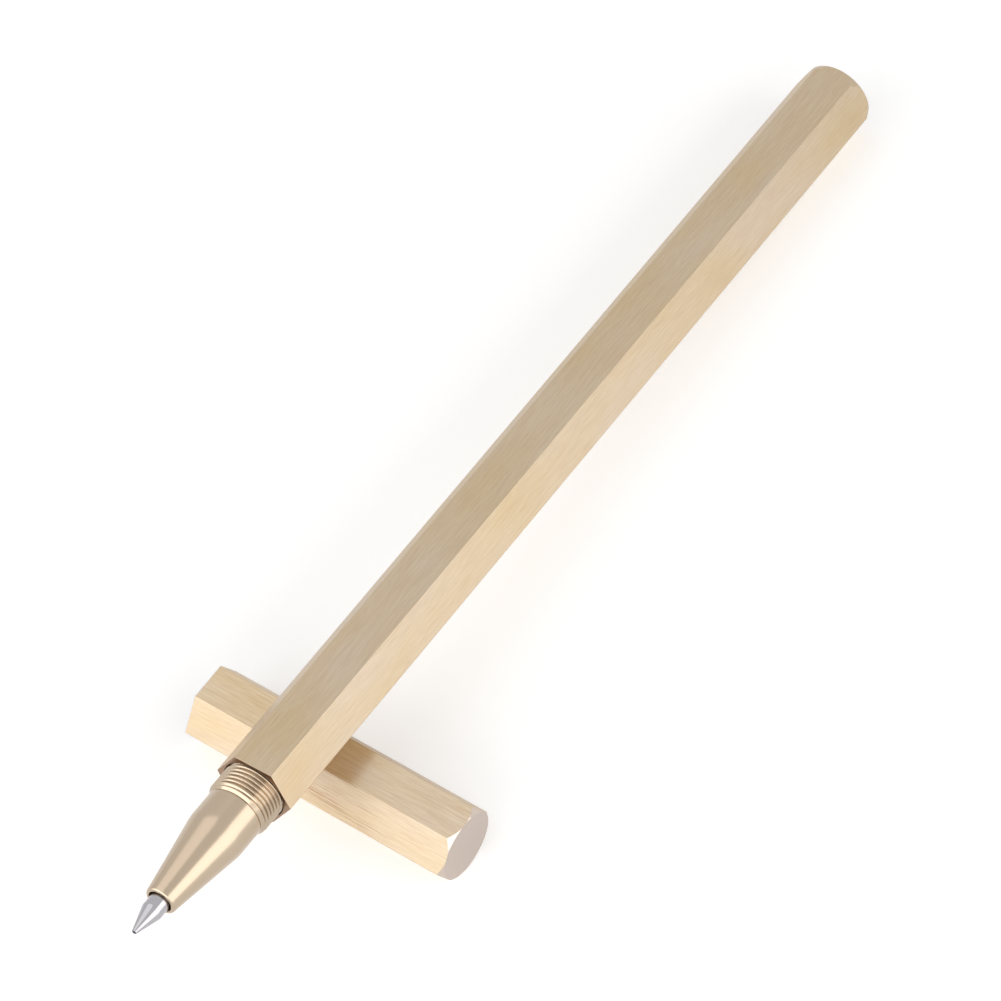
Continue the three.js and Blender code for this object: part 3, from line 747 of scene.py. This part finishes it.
tube = turn("ink_tube", [
    (TUBE_BORE, TUBE_BACK, 0.05),
    (TUBE_RADIUS, TUBE_BACK, 0.08),
    (TUBE_RADIUS, TUBE_FRONT, 0.08),
    (TUBE_BORE, TUBE_FRONT, 0.05),
    (TUBE_BORE, TUBE_BACK, 0),
])
clear_tube, tube_shader = new_finish("clear_tube", CLEAR_PLASTIC, 0, 0.22)
tube_shader.inputs["Transmission Weight"].default_value = 0.85
tube_shader.inputs["IOR"].default_value = 1.49
draw_lines = add_node(clear_tube, "ShaderNodeTexNoise", Scale=1.0, Detail=2.0)
join(clear_tube, pattern_space(clear_tube, pen_place, EXTRUSION_LINE), draw_lines.inputs["Vector"])
roughen(clear_tube, tube_shader, draw_lines.outputs["Fac"], 0.15, 0.35)
tube.data.materials.append(clear_tube)
settle(tube, pen_place)
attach(tube, "refill")
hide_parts("refill_tube")

# Ink and its follower
# Black gel ink fills the front of the tube. A plug of clear grease rides behind it, so that the ink
# can't run back as the level falls. Both surfaces cling to the tube's wall.
INK_RADIUS = 2.15
INK_FRONT = -9.65
INK_BACK = -61.65
FOLLOWER_FRONT = -61.7
FOLLOWER_BACK = -65.7
MENISCUS = 0.5
INK_BLACK = (0.006, 0.007, 0.01, 1)
INK_SWIRL = (1.5, 1.5, 6.0)
GREASE_YELLOW = (0.70, 0.63, 0.33, 1)
GREASE_SMEAR = (0.8, 0.8, 1.5)

ink = turn("ink_fill", [
    (0, INK_BACK, 0),
    (INK_RADIUS, INK_BACK, 0.1),
    (INK_RADIUS, INK_FRONT, 0.1),
    (0, INK_FRONT, 0),
])
black_ink, ink_shader = new_finish("black_ink", INK_BLACK, 0, 0.2)
ink_shader.inputs["Coat Weight"].default_value = 0.5
swirl = add_node(black_ink, "ShaderNodeTexNoise", Scale=1.0, Detail=2.0)
join(black_ink, pattern_space(black_ink, pen_place, INK_SWIRL), swirl.inputs["Vector"])
roughen(black_ink, ink_shader, swirl.outputs["Fac"], 0.12, 0.3)
ink.data.materials.append(black_ink)
settle(ink, pen_place)
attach(ink, "refill")
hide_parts("ink_column")

follower = turn("grease_plug", [
    (0, FOLLOWER_BACK + MENISCUS, 0.3),
    (INK_RADIUS * 0.6, FOLLOWER_BACK + MENISCUS * 0.7, 0.3),
    (INK_RADIUS, FOLLOWER_BACK, 0.03),
    (INK_RADIUS, FOLLOWER_FRONT, 0.1),
    (0, FOLLOWER_FRONT, 0),
])
grease, grease_shader = new_finish("grease", GREASE_YELLOW, 0, 0.35)
grease_shader.inputs["Transmission Weight"].default_value = 0.5
smears = add_node(grease, "ShaderNodeTexNoise", Scale=1.0, Detail=2.0)
join(grease, pattern_space(grease, pen_place, GREASE_SMEAR), smears.inputs["Vector"])
roughen(grease, grease_shader, smears.outputs["Fac"], 0.25, 0.45)
follower.data.materials.append(grease)
settle(follower, pen_place)
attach(follower, "refill")
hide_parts("ink_follower")

# Tail plug
# Moulded in the same white plastic as the holder. It closes the tube behind the grease, with a vent
# through it that lets air in as the ink is used.
REFILL_END = -89.52
PLUG_FLANGE_END = -88.12
PLUG_END = -85.12
VENT = 0.5

plug = turn("tail_plug_moulding", [
    (VENT, REFILL_END, 0.1),
    (TUBE_RADIUS, REFILL_END, 0.2),
    (TUBE_RADIUS, PLUG_FLANGE_END, 0.08),
    (PLUG_RADIUS, PLUG_FLANGE_END, 0),
    (PLUG_RADIUS, PLUG_END, 0.2),
    (VENT, PLUG_END, 0.05),
    (VENT, REFILL_END, 0),
])
plug.data.materials.append(white_plastic)
settle(plug, pen_place)
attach(plug, "refill")
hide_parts("tail_plug")

# Refill spring
# Steel wire wound into eight turns. It sits at the bottom of the barrel's bore and keeps the refill
# pushed forward against the nose's shoulder.
REFILL_COIL = 2.3
REFILL_WIRE = 0.5
REFILL_SPRING_TURNS = 8

refill_spring = coil_spring("refill_coil", REFILL_COIL, REFILL_WIRE, REFILL_SPRING_TURNS,
                            -BARREL_BORE_DEPTH + 0.05, REFILL_END - 0.05, 48)
refill_spring.data.materials.append(spring_steel)
settle(refill_spring, pen_place)
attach(refill_spring, "refill")
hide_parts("refill_spring")

# Camera and studio
# The camera looks down on the pen from the front right, from where the photograph was taken. The
# table and the surroundings are white, also as the brass shows them. Three soft lamps light the pen.
CAMERA_LENS = 269.504
CAMERA_PLACE = (0.272291, -0.347769, 0.643933)
CAMERA_TURN = (34.818, 2.6087, 34.6888)
TABLE_WHITE = (0.8, 0.8, 0.8, 1)
TABLE_GLOW = 0.37
TABLE_SIZE = 4
TABLE_GAP = 0.0001
SURROUND_LEVEL = 0.4
RIGHT_LAMP_LEVEL = 1.45
RIGHT_LAMP_SIZE = (1.07, 0.42)
RIGHT_LAMP_PLACE = (0.42, -0.135, 0.2)
RIGHT_LAMP_TARGET = (0, -0.135, 0)
FRONT_LAMP_LEVEL = 1.93
FRONT_LAMP_SIZE = (0.9, 0.42)
FRONT_LAMP_PLACE = (-0.15, -0.5, 0.2)
TOP_LAMP_LEVEL = 0.55
TOP_LAMP_SIZE = (0.8, 0.6)
TOP_LAMP_PLACE = (-0.25, -0.12, 0.6)
LAMP_TARGET = (0, -0.03, 0)

camera_data = bpy.data.cameras.new("camera")
camera_data.lens = CAMERA_LENS
camera_data.clip_start = 0.01
camera = bpy.data.objects.new("camera", camera_data)
bpy.context.collection.objects.link(camera)
camera.location = CAMERA_PLACE
camera.rotation_euler = [math.radians(angle) for angle in CAMERA_TURN]
bpy.context.scene.camera = camera


def seen_white(finish, white, lit):
    """Shows one shader to the camera, in metal and through glass, and another to all other light."""
    path = add_node(finish, "ShaderNodeLightPath")
    seen = path.outputs["Is Camera Ray"]
    for kind in ("Is Glossy Ray", "Is Transmission Ray"):
        either = add_node(finish, "ShaderNodeMath", operation="MAXIMUM")
        join(finish, seen, either.inputs[0])
        join(finish, path.outputs[kind], either.inputs[1])
        seen = either.outputs["Value"]
    choice = add_node(finish, "ShaderNodeMixShader")
    join(finish, seen, choice.inputs["Fac"])
    join(finish, lit, choice.inputs[1])
    join(finish, white, choice.inputs[2])
    return choice.outputs["Shader"]


table_finish, table_shader = new_finish("white_table", TABLE_WHITE, 0, 0.9)
glow = add_node(table_finish, "ShaderNodeEmission", Color=(1, 1, 1, 1), Strength=TABLE_GLOW)
lifted = add_node(table_finish, "ShaderNodeAddShader")
join(table_finish, glow.outputs["Emission"], lifted.inputs[0])
join(table_finish, table_shader.outputs["BSDF"], lifted.inputs[1])
table_output = table_finish.node_tree.nodes["Material Output"]
join(table_finish, seen_white(table_finish, lifted.outputs["Shader"], table_shader.outputs["BSDF"]),
     table_output.inputs["Surface"])
bpy.ops.mesh.primitive_plane_add(size=TABLE_SIZE, location=(0, 0, -TABLE_GAP))
table = start_piece("white_table")
table.data.materials.append(table_finish)


def soft_lamp(name, level, size, place, target):
    """A rectangular lamp whose face has the given brightness, turned towards a target."""
    width, height = size
    lamp_data = bpy.data.lights.new(name, "AREA")
    lamp_data.shape = "RECTANGLE"
    lamp_data.size = width
    lamp_data.size_y = height
    lamp_data.energy = level * math.pi * width * height
    lamp = bpy.data.objects.new(name, lamp_data)
    bpy.context.collection.objects.link(lamp)
    lamp.location = place
    lamp.rotation_euler = (Vector(place) - Vector(target)).to_track_quat("Z", "Y").to_euler()
    lamp.visible_camera = False


soft_lamp("right_softbox", RIGHT_LAMP_LEVEL, RIGHT_LAMP_SIZE, RIGHT_LAMP_PLACE, RIGHT_LAMP_TARGET)
soft_lamp("front_softbox", FRONT_LAMP_LEVEL, FRONT_LAMP_SIZE, FRONT_LAMP_PLACE, LAMP_TARGET)
soft_lamp("top_softbox", TOP_LAMP_LEVEL, TOP_LAMP_SIZE, TOP_LAMP_PLACE, LAMP_TARGET)

world = bpy.data.worlds.new("studio")
bpy.context.scene.world = world
world.use_nodes = True
surround = world.node_tree.nodes["Background"]
surround.inputs["Color"].default_value = (1, 1, 1, 1)
surround.inputs["Strength"].default_value = SURROUND_LEVEL
plain_white = add_node(world, "ShaderNodeBackground", Color=(1, 1, 1, 1))
world_output = world.node_tree.nodes["World Output"]
join(world, seen_white(world, plain_white.outputs["Background"], surround.outputs["Background"]),
     world_output.inputs["Surface"])

bpy.context.scene.view_settings.view_transform = "Standard"
